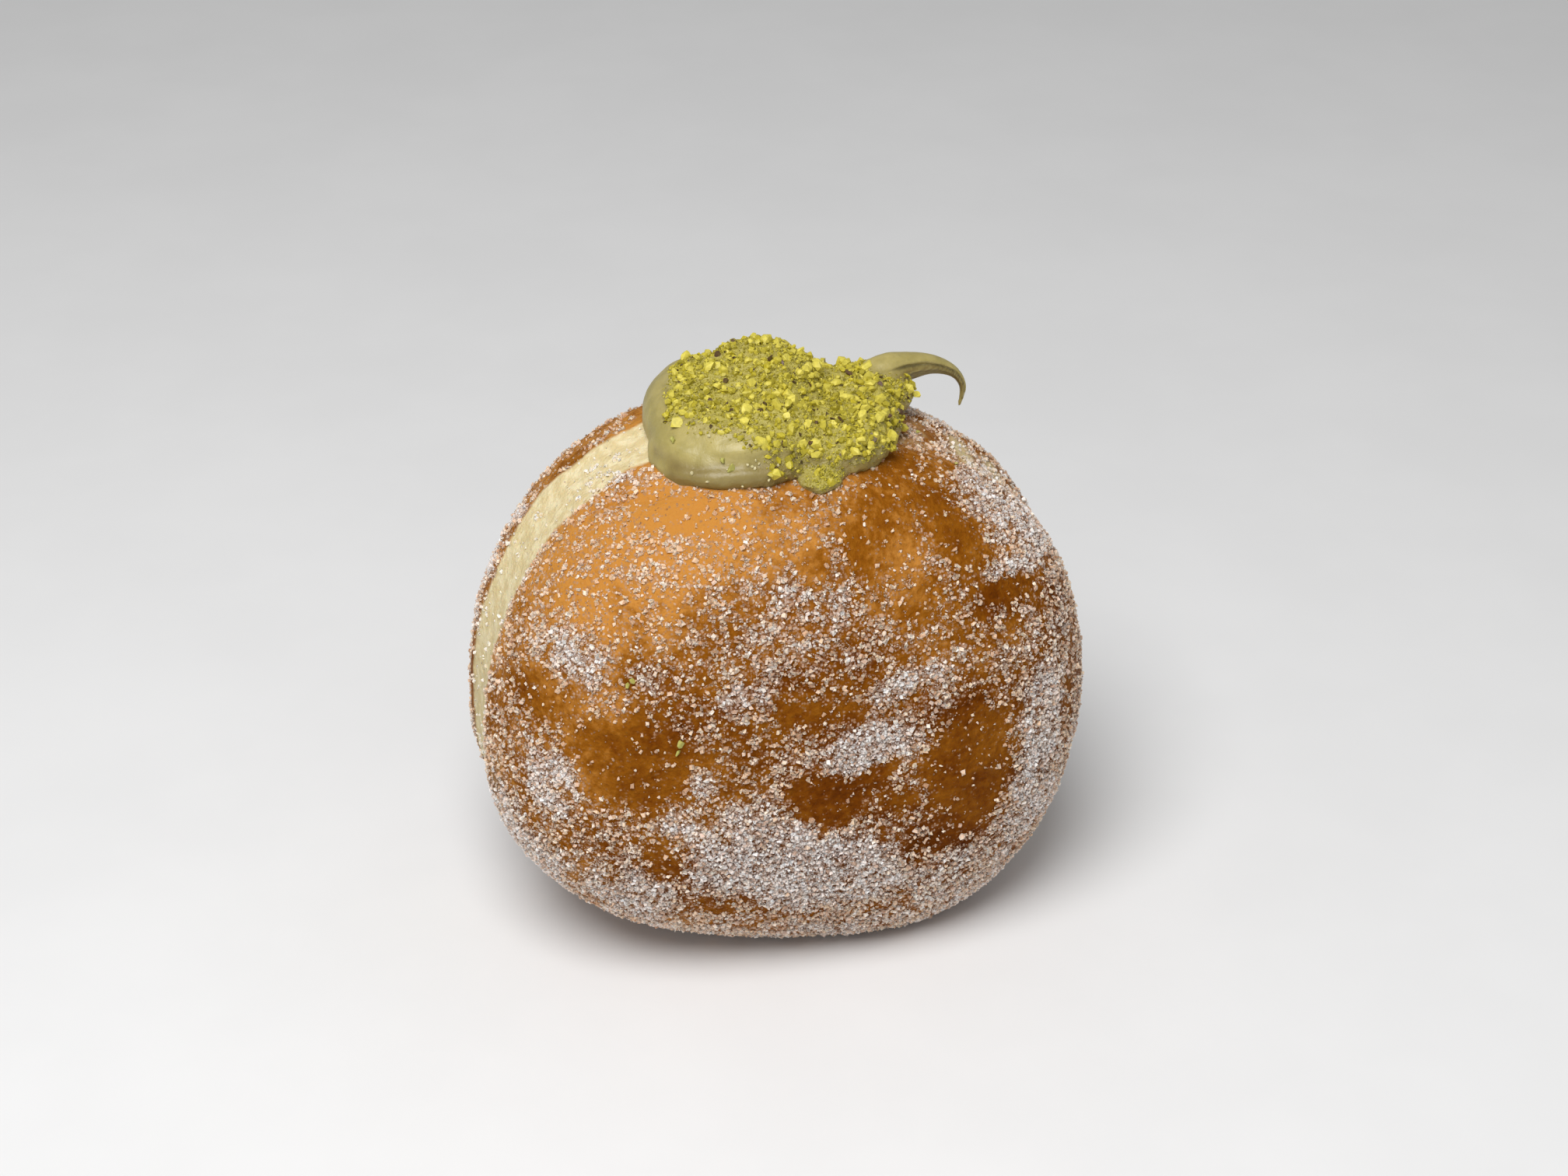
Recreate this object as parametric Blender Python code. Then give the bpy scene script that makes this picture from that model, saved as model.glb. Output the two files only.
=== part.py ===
"""A filled doughnut with pistachio cream, standing on its rim as it is served.

The dough is a thick cushion-shaped round whose axis lies along Y. Cream is piped out of a
narrow hole in the top of the rim, lies over it as a soft mound with a curled tail, and is
covered with chopped pistachios. Lengths are in millimetres up to the helper that turns them
into metres. The origin is on the flat foot, right below the middle of the round, and +Z is up.
"""

import math
import random

import bmesh
import bpy
from mathutils import Matrix, Vector, noise
from mathutils.bvhtree import BVHTree

MM = 0.001

# Dough: a round spun about the Y axis. Its section is a superellipse, fuller than an oval.
RING_RADIUS = 43.0
HALF_THICKNESS = 29.5
FULLNESS = 2.75
SPIN_STEPS = 66
SECTION_STEPS = 32
# How the hand-shaped rim departs from a circle: (waves round it, cosine share, sine share).
RIM_WAVES = ((2, 0.044, -0.030), (3, -0.011, -0.013), (4, -0.023, 0.020))
# The pale waist where the two fried halves meet.
WAIST_DEPTH = 0.6
WAIST_HALF_WIDTH = 4.6
LUMP_HEIGHT = 0.35
LUMP_SPACING = 16.0

# The underside settles on the table: it bulges no lower than SETTLE_FROM + SETTLE_ROOM.
SETTLE_FROM = 34.0
SETTLE_ROOM = 2.6
FOOT_LEVEL = 36.2

# The narrow hole that the nozzle made, and the cream that fills it.
HOLE_X = -1.0
HOLE_Y = 1.0
HOLE_RADIUS = 4.2
HOLE_FLOOR = 24.0
GAP = 0.3

# Cream lobes on the top of the rim: name, centre, half sizes, turn about Z in degrees.
LOBES = (
    ("crown", (-1.7, 4.8, 42.3), (9.3, 10.8, 7.1), -6.0),
    ("crown, left", (-8.8, 4.0, 41.7), (8.6, 11.3, 6.4), 0.0),
    ("left end", (-12.2, 1.0, 41.3), (6.1, 12.4, 6.0), 2.0),
    ("left corner", (-13.5, -5.0, 39.6), (5.5, 8.0, 4.8), 12.0),
    ("shoulder", (-5.5, -4.8, 42.8), (11.3, 8.6, 4.0), -8.0),
    ("front lip", (-7.8, -9.6, 39.7), (9.8, 5.6, 3.0), -6.0),
    ("front right", (5.5, -6.3, 40.2), (9.2, 7.6, 4.8), 14.0),
    ("right end", (12.3, 2.6, 38.6), (5.8, 9.6, 5.4), -8.0),
    ("saddle", (8.0, 5.5, 39.4), (8.6, 8.0, 4.5), 0.0),
    ("nib", (2.5, -13.7, 38.3), (2.6, 2.6, 1.7), 0.0),
    ("tail root", (17.1, 5.5, 39.9), (3.9, 3.6, 3.5), 0.0),
    ("rear", (-1.0, 12.0, 39.2), (12.5, 7.0, 5.6), 3.0),
)
LOBE_VOXEL = 0.8
CREAM_FACES_KEPT = 0.27

# The tail that the nozzle drew off: centre, half height and half depth at each station.
TAIL = (
    ((12.3, 6.5, 41.1), 2.5, 2.8),
    ((17.3, 7.2, 42.5), 2.5, 2.4),
    ((21.6, 8.2, 42.5), 2.0, 1.9),
    ((25.4, 9.2, 41.7), 1.3, 1.5),
    ((28.5, 9.9, 39.8), 0.8, 1.1),
    ((30.0, 10.2, 37.1), 0.5, 0.75),
    ((29.5, 10.2, 33.9), 0.25, 0.3),
)
TAIL_SIDES = 10
TAIL_RINGS = 17

# Chopped pistachio: the bits that show from a step away.
NUT_COUNT = 160
NUT_TRIES = 9000
NUT_HALF_SIZES = (0.42, 0.9)
NUT_SPACING = 1.7
NUT_RISE = 0.25
NUT_SEED = 7
# They lie on the cream but for its left end and its front left corner, where X + Y is low.
NUTS_FROM_X = -15.6
NUTS_TO_X = 19.0
NUTS_FROM_SUM = -18.2
NUT_MIN_UPWARD = 0.1
NUT_CLEAR_OF_DOUGH = 1.7


def rim_radius(angle):
    """Distance from the middle of the round to its rim, at an angle from +X towards +Z."""
    waves = sum(c * math.cos(k * angle) + s * math.sin(k * angle) for k, c, s in RIM_WAVES)
    return RING_RADIUS * (1.0 + waves)


def section_point(turn):
    """A point of the section, as shares of the rim radius and of the half thickness."""
    outward = abs(math.cos(turn))
    sideways = math.sin(turn)
    scale = (outward**FULLNESS + abs(sideways) ** FULLNESS) ** (-1.0 / FULLNESS)
    return outward * scale, sideways * scale


def settled(height):
    """Height after the underside has spread on the table, from the middle of the round."""
    if height > -SETTLE_FROM:
        return height
    sunk = -height - SETTLE_FROM
    return -SETTLE_FROM - SETTLE_ROOM * math.tanh(sunk / SETTLE_ROOM)


def shape_dough_point(point):
    """Moves a point of the plain spun round onto the hand-shaped one."""
    angle = math.atan2(point.z, point.x)
    reach = math.hypot(point.x, point.z)
    grown = reach * rim_radius(angle) / RING_RADIUS
    waist = WAIST_DEPTH * math.exp(-((point.y / WAIST_HALF_WIDTH) ** 4))
    near_rim = min(1.0, reach / RING_RADIUS)
    grown -= waist * near_rim
    lump = LUMP_HEIGHT * noise.noise(point / LUMP_SPACING)
    grown += lump * near_rim
    pushed_y = point.y * (1.0 + lump / HALF_THICKNESS)
    return Vector((grown * math.cos(angle), pushed_y, settled(grown * math.sin(angle))))


def seat(bm):
    """Moves what is modelled about the middle of the round up onto the foot, in metres."""
    lift = Matrix.Translation((0.0, 0.0, FOOT_LEVEL * MM))
    bmesh.ops.transform(bm, matrix=lift @ Matrix.Scale(MM, 4), verts=bm.verts)


def new_object(name, bm, material=None):
    mesh = bpy.data.meshes.new(name)
    bm.to_mesh(mesh)
    bm.free()
    obj = bpy.data.objects.new(name, mesh)
    bpy.context.scene.collection.objects.link(obj)
    if material:
        mesh.materials.append(material)
    return obj


def as_helper(obj):
    obj.hide_render = True
    obj.display_type = "WIRE"
    return obj


def apply_modifiers(obj):
    graph = bpy.context.evaluated_depsgraph_get()
    mesh = bpy.data.meshes.new_from_object(obj.evaluated_get(graph))
    obj.modifiers.clear()
    old = obj.data
    obj.data = mesh
    bpy.data.meshes.remove(old)


def boolean(obj, operation, operand):
    """Cuts or joins an object or a whole collection, at once, and removes what was used."""
    modifier = obj.modifiers.new(operation.lower(), "BOOLEAN")
    modifier.operation = operation
    modifier.solver = "EXACT"
    if isinstance(operand, bpy.types.Collection):
        modifier.operand_type = "COLLECTION"
        modifier.collection = operand
        used = list(operand.objects)
    else:
        modifier.object = operand
        used = [operand]
    apply_modifiers(obj)
    for helper in used:
        bpy.data.objects.remove(helper)


def finish(name, rgb, roughness):
    material = bpy.data.materials.new(name)
    material.use_nodes = True
    shader = material.node_tree.nodes["Principled BSDF"]
    shader.inputs["Base Color"].default_value = (*rgb, 1.0)
    shader.inputs["Roughness"].default_value = roughness
    shader.inputs["Metallic"].default_value = 0.0
    return material


def spun_round(bm):
    """The plain round: the section spun about the Y axis, rows closer together at the waist."""
    row = []
    for step in range(SECTION_STEPS + 1):
        share = 2.0 * step / SECTION_STEPS - 1.0
        turn = 0.5 * math.pi * (0.7 * share + 0.3 * share**3)
        outward, sideways = section_point(turn)
        row.append(bm.verts.new((RING_RADIUS * outward, HALF_THICKNESS * sideways, 0.0)))
    edges = [bm.edges.new(pair) for pair in zip(row, row[1:])]
    bmesh.ops.spin(
        bm,
        geom=row + edges,
        axis=(0.0, 1.0, 0.0),
        angle=2.0 * math.pi,
        steps=SPIN_STEPS,
        use_merge=True,
    )
    bmesh.ops.remove_doubles(bm, verts=bm.verts, dist=0.01)
    bmesh.ops.recalc_face_normals(bm, faces=bm.faces)


def dough_mesh(swell=0.0):
    """The dough about the middle of the round, swollen all over by some millimetres."""
    bm = bmesh.new()
    spun_round(bm)
    for vert in bm.verts:
        vert.co = shape_dough_point(vert.co)
    bm.normal_update()
    for vert in bm.verts:
        vert.co += vert.normal * swell
    return bm


def cut_foot(bm):
    cut = bmesh.ops.bisect_plane(
        bm,
        geom=bm.verts[:] + bm.edges[:] + bm.faces[:],
        plane_co=(0.0, 0.0, -FOOT_LEVEL),
        plane_no=(0.0, 0.0, -1.0),
        clear_outer=True,
    )
    rim = [item for item in cut["geom_cut"] if isinstance(item, bmesh.types.BMEdge)]
    bmesh.ops.contextual_create(bm, geom=rim)
    bmesh.ops.recalc_face_normals(bm, faces=bm.faces)


def upright_cylinder(name, radius, bottom, top):
    bm = bmesh.new()
    bmesh.ops.create_cone(
        bm,
        cap_ends=True,
        segments=28,
        radius1=radius,
        radius2=radius,
        depth=top - bottom,
        matrix=Matrix.Translation((HOLE_X, HOLE_Y, 0.5 * (top + bottom))),
    )
    seat(bm)
    return as_helper(new_object(name, bm))


def make_dough():
    bm = dough_mesh()
    cut_foot(bm)
    seat(bm)
    dough = new_object("dough", bm, finish("fried dough", (0.42, 0.17, 0.035), 0.55))
    boolean(dough, "DIFFERENCE", upright_cylinder("hole", HOLE_RADIUS, HOLE_FLOOR, 60.0))
    dough.data.shade_smooth()
    dough.data.set_sharp_from_angle(angle=math.radians(50.0))


def cream_mound():
    """The lobes run together into one soft skin."""
    bm = bmesh.new()
    for _, centre, half_sizes, turn in LOBES:
        place = (
            Matrix.Translation(centre)
            @ Matrix.Rotation(math.radians(turn), 4, "Z")
            @ Matrix.Diagonal((*half_sizes, 1.0))
        )
        bmesh.ops.create_icosphere(bm, subdivisions=4, radius=1.0, matrix=place)
    seat(bm)
    mound = new_object("cream", bm, finish("pistachio cream", (0.36, 0.37, 0.15), 0.4))
    skin = mound.modifiers.new("one skin", "REMESH")
    skin.mode = "VOXEL"
    skin.voxel_size = LOBE_VOXEL * MM
    soften = mound.modifiers.new("soften", "SMOOTH")
    soften.factor = 0.5
    soften.iterations = 5
    thin = mound.modifiers.new("fewer faces", "DECIMATE")
    thin.ratio = CREAM_FACES_KEPT
    apply_modifiers(mound)
    return mound


def along(stations, place):
    """Reads a smooth curve through the stations, at a place counted in stations."""
    last = len(stations) - 1
    start = min(int(place), last - 1)
    share = place - start
    before, here, after, beyond = (
        stations[min(max(start + offset, 0), last)] for offset in (-1, 0, 1, 2)
    )
    bend = 2.0 * before - 5.0 * here + 4.0 * after - beyond
    twist = -before + 3.0 * here - 3.0 * after + beyond
    return here + 0.5 * share * (after - before + share * (bend + share * twist))


def straight_rod(sides, cuts):
    """A closed rod of radius 1 from Z 0 to Z 1, cut into rings."""
    bm = bmesh.new()
    bmesh.ops.create_cone(
        bm,
        cap_ends=True,
        segments=sides,
        radius1=1.0,
        radius2=1.0,
        depth=1.0,
        matrix=Matrix.Translation((0.0, 0.0, 0.5)),
    )
    lengthwise = [edge for edge in bm.edges if abs(edge.verts[0].co.z - edge.verts[1].co.z) > 0.5]
    bmesh.ops.subdivide_edges(bm, edges=lengthwise, cuts=cuts)
    return bm


def cream_tail():
    """The rod bent along the tail's stations, from inside the mound out to a fine curled tip."""
    centres = [Vector(centre) for centre, _, _ in TAIL]
    heights = [half_height for _, half_height, _ in TAIL]
    depths = [half_depth for _, _, half_depth in TAIL]
    last = len(TAIL) - 1.0
    bm = straight_rod(TAIL_SIDES, TAIL_RINGS)
    for vert in bm.verts:
        place = vert.co.z * last
        forward = along(centres, min(place + 0.1, last)) - along(centres, max(place - 0.1, 0.0))
        forward.normalize()
        upward = Vector((0.0, -1.0, 0.0)).cross(forward).normalized()
        inward = forward.cross(upward)
        vert.co = (
            along(centres, place)
            + upward * (vert.co.x * along(heights, place))
            + inward * (vert.co.y * along(depths, place))
        )
    bmesh.ops.recalc_face_normals(bm, faces=bm.faces)
    seat(bm)
    return as_helper(new_object("tail", bm))


def swollen_dough():
    """What the cream lies on, a gap larger all over."""
    bm = dough_mesh(swell=GAP)
    seat(bm)
    return as_helper(new_object("swollen dough", bm))


def nuts_lie(point):
    """Whether a point of the cream, about the middle of the round, lies where nuts fell."""
    return NUTS_FROM_X < point.x < NUTS_TO_X and point.x + point.y > NUTS_FROM_SUM


def nut_places(cream, draw):
    """Places on the top of the cream, apart from each other and clear of the dough."""
    foot = Vector((0.0, 0.0, FOOT_LEVEL))
    faces = [
        face
        for face in cream.data.polygons
        if face.normal.z > NUT_MIN_UPWARD and nuts_lie(face.center / MM - foot)
    ]
    areas = [face.area for face in faces]
    dough = dough_mesh(swell=GAP)
    dough_surface = BVHTree.FromBMesh(dough)
    dough.free()
    places = []
    for _ in range(NUT_TRIES):
        face = draw.choices(faces, areas)[0]
        corners = [cream.data.vertices[index].co for index in face.vertices[:3]]
        low, high = sorted((draw.random(), draw.random()))
        spot = corners[0] * low + corners[1] * (high - low) + corners[2] * (1.0 - high)
        to_dough = dough_surface.find_nearest(spot / MM - foot)[3]
        apart = all((spot - other).length > NUT_SPACING * MM for other, _ in places)
        if apart and to_dough > NUT_CLEAR_OF_DOUGH:
            places.append((spot, face.normal.copy()))
        if len(places) == NUT_COUNT:
            break
    return places


def nut_chip(draw, half_size):
    """A rough angular chip of pistachio about the origin."""
    bm = bmesh.new()
    bmesh.ops.create_cube(bm, size=2.0 * half_size)
    stretch = Vector((draw.uniform(0.8, 1.25), draw.uniform(0.6, 1.0), draw.uniform(0.55, 0.85)))
    for vert in bm.verts:
        vert.co = vert.co * stretch * draw.uniform(0.65, 1.1)
    return bm


def chopped_nuts(cream):
    """A collection of chips, the largest first, each sunk a little into the cream."""
    draw = random.Random(NUT_SEED)
    heap = bpy.data.collections.new("nuts")
    bpy.context.scene.collection.children.link(heap)
    places = nut_places(cream, draw)
    small, large = NUT_HALF_SIZES
    for number, (spot, normal) in enumerate(places):
        half_size = (large - (large - small) * (number / len(places)) ** 0.7) * MM
        chip = nut_chip(draw, half_size)
        tumbled = Matrix.Rotation(draw.uniform(0.0, 2.0 * math.pi), 4, "Z")
        tumbled = Matrix.Rotation(draw.uniform(-0.5, 0.5), 4, "X") @ tumbled
        facing = normal.to_track_quat("Z", "Y").to_matrix().to_4x4()
        raised = Matrix.Translation(spot + normal * half_size * NUT_RISE)
        bmesh.ops.transform(chip, matrix=raised @ facing @ tumbled, verts=chip.verts)
        piece = as_helper(new_object(f"chip {number}", chip))
        bpy.context.scene.collection.objects.unlink(piece)
        heap.objects.link(piece)
    return heap


def make_cream():
    cream = cream_mound()
    boolean(cream, "UNION", cream_tail())
    boolean(cream, "DIFFERENCE", swollen_dough())
    neck = upright_cylinder("neck", HOLE_RADIUS - GAP, HOLE_FLOOR + GAP, RING_RADIUS)
    boolean(cream, "UNION", neck)
    nuts = chopped_nuts(cream)
    boolean(cream, "UNION", nuts)
    bpy.data.collections.remove(nuts)
    cream.data.shade_smooth()
    cream.data.set_sharp_from_angle(angle=math.radians(40.0))


def main():
    for obj in list(bpy.data.objects):
        bpy.data.objects.remove(obj)
    make_dough()
    make_cream()


main()
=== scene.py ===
"""The looks of a filled pistachio doughnut that stands on its rim.

Sizes are in millimetres about the middle of the round: X across the broad face in view, Y along
the round's axis with that face towards -Y, Z up. seated() turns such places into the frame's
metres, with the foot at Z 0.
"""

import math

import bmesh
import bpy
import numpy as np
from mathutils import Matrix, Vector, noise
from mathutils.bvhtree import BVHTree
from mathutils.kdtree import KDTree


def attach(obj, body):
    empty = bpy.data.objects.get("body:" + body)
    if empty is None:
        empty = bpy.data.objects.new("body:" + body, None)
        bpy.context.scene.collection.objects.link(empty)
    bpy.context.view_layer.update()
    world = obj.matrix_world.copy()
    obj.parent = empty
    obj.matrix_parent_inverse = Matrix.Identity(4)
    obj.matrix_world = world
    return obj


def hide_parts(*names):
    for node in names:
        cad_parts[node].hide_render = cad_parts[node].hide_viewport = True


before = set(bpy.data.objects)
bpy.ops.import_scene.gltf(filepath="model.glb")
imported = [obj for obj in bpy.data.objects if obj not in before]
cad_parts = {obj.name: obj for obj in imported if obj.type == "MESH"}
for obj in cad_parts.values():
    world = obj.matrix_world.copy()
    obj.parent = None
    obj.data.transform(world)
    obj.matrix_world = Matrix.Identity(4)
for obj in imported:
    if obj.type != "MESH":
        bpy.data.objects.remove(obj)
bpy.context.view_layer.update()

MM = 0.001
MIDDLE_HEIGHT = 36.2
MIDDLE = np.array([0.0, 0.0, MIDDLE_HEIGHT])

# How finely the crust's skin and the cream's skin are remeshed.
CRUST_VOXEL = 0.56
CREAM_VOXEL = 0.32

# The pale band round the rim: its middle and half width along Y, how far its edges are soft and
# how far it wanders. Angles run from +X towards +Z. It is palest round one angle, shows again
# round another, and is faint elsewhere.
BAND_MIDDLE = 0.9
BAND_HALF_WIDTH = 4.9
BAND_SOFT_EDGE = 1.7
BAND_WANDER = 1.2
BAND_PALEST_AT = 138.0
BAND_PALE_SPREAD = 62.0
BAND_FAINTEST = 0.24
BAND_AGAIN_AT = -25.0
BAND_AGAIN_SPREAD = 55.0
BAND_AGAIN_SHARE = 0.22

# A fold in the crust runs from the band in under the cream.
FOLD = ((-28.5, -7.0, 34.0), (-24.0, -9.4, 36.4), (-20.7, -11.4, 37.4), (-16.8, -11.6, 38.6))
FOLD_DEPTH = 0.55
FOLD_WIDTH = 1.0

# Where sugar lies thick on the face in view: middle, half width, half height, turn, amount.
SUGAR_PATCHES = (
    ("white by the left", (-33, -20, 19), 4.2, 4.0, 20, 1.0),
    ("left, low", (-37, -21, 0), 3.4, 6.0, 0, 1.0),
    ("right of the middle", (5, -29, 4), 7.5, 4.6, 12, 1.1),
    ("streak, inner end", (9, -29, 13), 4.5, 2.2, 30, 0.8),
    ("streak, outer end", (17, -28, 14.5), 5.0, 2.4, 20, 0.8),
    ("broad drift low", (-10, -29, -12), 10.5, 9.0, -10, 1.0),
    ("broad drift, right", (1, -28, -17), 9.0, 7.0, 10, 0.9),
    ("drift to the left", (-27, -24, -19), 6.0, 7.0, 30, 0.8),
    ("right edge, upper", (33, -23, 2), 4.2, 9.0, -5, 0.8),
    ("right edge, lower", (32, -22, -12), 5.0, 9.0, 5, 0.7),
    ("upper right", (26, -13, 31), 5.5, 5.0, -40, 0.7),
    ("upper right streak", (29, -19, 24), 6.0, 1.6, -10, 0.7),
    ("right shoulder", (34, -9, 25), 5.0, 7.0, 30, 0.7),
    ("streak below the cream", (2, -24, 29), 1.7, 6.0, 4, 0.6),
    ("speck, left", (-24, -25, 18), 2.0, 2.0, 0, 0.7),
    ("speck, middle", (-18, -29, 2), 1.8, 2.4, 0, 0.8),
    ("speck, low", (-21, -28, -5), 3.6, 2.6, 0, 0.7),
    ("grey by the middle", (-12, -28, 14), 4.4, 3.2, 0, 0.7),
    ("right, low", (25, -25, -21), 10.0, 7.0, 40, 0.2),
    ("middle, low", (14, -27, -21), 9.0, 5.5, 5, 0.3),
    ("left rim, low", (-40, -14, -16), 6.0, 10.0, 20, 0.8),
    ("across the middle", (-6, -26, 23), 13.0, 7.0, 0, 0.3),
    ("thin, below the cream", (-5, -24, 28.5), 6.5, 3.5, 0, 0.26),
    ("thin, golden part", (-18, -20, 31), 8.0, 5.0, 15, 0.13),
)

# Where the crust shows bare: middle, half width, half height, turn, amount.
BARE_PATCHES = (
    ("wide, left", (-27, -26, 5), 8.5, 6.5, -10, 1.0),
    ("dark, middle", (-0.5, -29, -3.2), 5.6, 4.4, -25, 1.1),
    ("dark streak", (6.5, -29, -0.5), 4.4, 1.7, 35, 1.0),
    ("wide, right", (21, -28, -3), 6.0, 11.0, 8, 1.1),
    ("by the cream", (-1, -23, 31), 2.6, 2.6, 0, 0.8),
    ("upper right", (15, -12, 36), 9.0, 8.0, -20, 0.5),
    ("upper right, face", (9, -21, 32), 6.0, 4.5, -20, 0.5),
    ("upper right, outer", (22, -19, 29), 5.5, 3.2, -30, 0.6),
    ("small, low", (10, -29, -5.5), 2.4, 1.8, 0, 0.9),
    ("dark, far right", (27, -21, 22), 5.0, 1.7, -15, 0.8),
    ("left, by the band", (-38, -17, 12), 5.0, 3.4, 0, 0.5),
    ("thin, middle", (-2, -29, 11), 6.8, 1.9, -5, 0.5),
    ("right side", (13, -26, 24), 4.0, 3.0, 20, 0.5),
    ("low left", (-23, -27, -13), 3.0, 4.0, 0, 0.6),
    ("bottom, left", (-15, -27, -21), 5.0, 2.4, 0, 0.5),
    ("right, below the drift", (15, -28, -15), 5.0, 3.0, 15, 0.45),
    ("under the cream", (-17, -16, 36.5), 5.5, 1.8, 0, 0.4),
    ("golden left", (-32, -16, 25), 7.0, 6.0, -35, 0.12),
    ("right of the middle, high", (20, -25, 17), 5.0, 5.0, 0, 0.36),
)
PATCH_DEPTH = 9.0

# Where the crust is fried lighter or darker: middle, half width, half height, turn, amount.
FRYING_PATCHES = (
    ("golden under the cream", (-18, -17, 35), 10.0, 6.0, 15, 0.38),
    ("golden by the band", (-30, -13, 28), 7.0, 10.0, -35, 0.26),
    ("golden middle", (-5, -22, 33), 7.0, 4.0, 0, 0.1),
    ("dark middle", (-0.5, -29, -3), 7.0, 5.0, -15, -0.16),
    ("dark low", (-4, -27, -15), 24.0, 10.0, 0, -0.26),
    ("dark right", (27, -21, 22), 6.0, 4.0, 0, -0.16),
    ("dark upper right", (17, -14, 34), 9.0, 8.0, -20, -0.05),
    ("dark middle, high", (-2, -26, 23), 15.0, 9.0, 0, -0.15),
    ("brown middle", (-3, -28, 9), 18.0, 9.0, 0, -0.17),
    ("amber left", (-21, -26, 14), 9.0, 8.0, 0, -0.13),
    ("amber right", (21, -28, -4), 7.0, 12.0, 8, 0.05),
)

# Where the crust is as pale as the band: middle, half width, half height, turn, amount.
PALE_PATCHES = (
    ("left rim, low", (-41, -8, -10), 4.5, 14.0, 14, 0.36),
    ("right shoulder, inner", (28, 0, 32), 2.5, 2.0, -40, 0.3),
    ("right shoulder, outer", (33, 0, 28), 2.5, 2.0, -40, 0.3),
)

# Grains of sugar: the most that are sown on a square millimetre, their sizes, how ready they are
# to stay outside the clumps, how clear the clearest is, and the most that each side holds.
SUGAR_KINDS = {
    "grains": {
        "per_mm2": 7.5, "sizes": (0.26, 0.48), "least": 0.42, "clearest": 0.85,
        "most": {"front": 16000, "rim": 11000, "back": 8000},
    },
    "dust": {
        "per_mm2": 13.5, "sizes": (0.22, 0.46), "least": 0.45, "clearest": 0.95,
        "most": {"front": 39000, "rim": 17000, "back": 11000},
    },
}
SIDE_EDGE = 12.0

# Crystals too fine to model are drawn on the crust as cells of this size, which drift this far
# over lumps of this spacing, so that they don't line up.
FINE_SUGAR_SIZE = 0.36
FINE_SUGAR_DRIFT = 0.3
FINE_SUGAR_DRIFT_SPACING = 0.5

# A tongue of cream at the front, covered in crumbs.
NIB = (2.6, -13.9, 38.2)

# Cream lobes on the top of the rim: name, centre, half sizes, turn about Z in degrees.
LOBES = (
    ("crown", (-1.7, 4.8, 42.3), (9.3, 10.8, 7.1), -6.0),
    ("crown, left", (-8.8, 4.0, 41.7), (8.6, 11.3, 6.4), 0.0),
    ("left end", (-12.2, 1.0, 41.3), (6.1, 12.4, 6.0), 2.0),
    ("left corner", (-13.5, -5.0, 39.6), (5.5, 8.0, 4.8), 12.0),
    ("shoulder", (-5.5, -4.8, 42.8), (11.3, 8.6, 4.0), -8.0),
    ("front lip", (-7.8, -9.6, 40.3), (9.8, 5.6, 3.2), -6.0),
    ("front right", (5.5, -6.3, 40.2), (9.2, 7.6, 4.8), 14.0),
    ("right end", (12.3, 2.6, 38.6), (5.8, 9.6, 5.4), -8.0),
    ("saddle", (8.0, 5.5, 39.4), (8.6, 8.0, 4.5), 0.0),
    ("nib", NIB, (3.3, 2.3, 1.25), 12.0),
    ("tail root", (17.1, 5.5, 39.9), (3.9, 3.6, 3.5), 0.0),
    ("rear", (-1.0, 12.0, 39.2), (12.5, 7.0, 5.6), 3.0),
)

# The cream reaches this far under the crust's skin.
DEPTH_UNDER_CRUST = 0.5

# A crease runs round the cream's front lip, which hangs in shade below it. The crease and the lip's
# underside also get painted shade in the cream's colour.
CREASE = (
    (-18.9, -5.1, 40.7), (-16.7, -10.1, 41.4), (-14.0, -12.7, 41.7), (-9.5, -14.1, 42.1), (-2.0, -14.6, 41.8)
)
CREASE_DEPTH = 0.5
CREASE_WIDTH = 1.0

# The tail that the nozzle drew off: centre, half height and half depth at each station.
TAIL = (
    ((12.3, 6.5, 41.1), 2.5, 2.8),
    ((17.3, 7.2, 42.5), 2.5, 2.4),
    ((21.6, 8.2, 42.5), 2.0, 1.9),
    ((25.4, 9.2, 41.7), 1.3, 1.5),
    ((28.5, 9.9, 39.8), 0.8, 1.1),
    ((30.0, 10.2, 37.1), 0.5, 0.75),
    ((29.5, 10.2, 33.9), 0.25, 0.3),
)
TAIL_SIDES = 20
TAIL_RINGS = 47
TAIL_GROOVE_DEPTH = 0.9
TAIL_STREAK_SPACING = 0.75
TAIL_SHADE_SPACING = 0.5
TAIL_THIN_FROM_X = 20.5
TAIL_GROOVED_FROM_X = 14.0

# Chopped nuts lie on the cream but for its left end, its front left corner, where X + Y is low,
# and the left of its rear. Fewer large ones lie within a short way of the nib.
NUTS_FROM_X = -16.0
NUTS_TO_X = 20.4
NUTS_FROM_SUM = -20.4
NUTS_REAR = 13.4
NIB_REACH = 3.4

# Each kind of nut piece: how many are sown, smallest and largest size, how far apart they stay
# as a share of their size, the darkest and the lightest colour, and how deep the most sunken lies.
NUT_KINDS = {
    "nuts_light": (660, (0.65, 2.1), 0.5, (0.45, 0.375, 0.022), (0.69, 0.59, 0.085), 0.25),
    "nuts_green": (2400, (0.42, 1.3), 0.28, (0.18, 0.145, 0.005), (0.53, 0.44, 0.025), 0.38),
    "nuts_skins": (250, (0.5, 1.8), 0.8, (0.030, 0.010, 0.004), (0.085, 0.034, 0.017), 0.38),
    "nuts_crumbs": (17000, (0.2, 0.62), 0.0, (0.17, 0.135, 0.005), (0.62, 0.53, 0.06), 0.38),
}
SKIN_FLATNESS = 0.35

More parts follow.
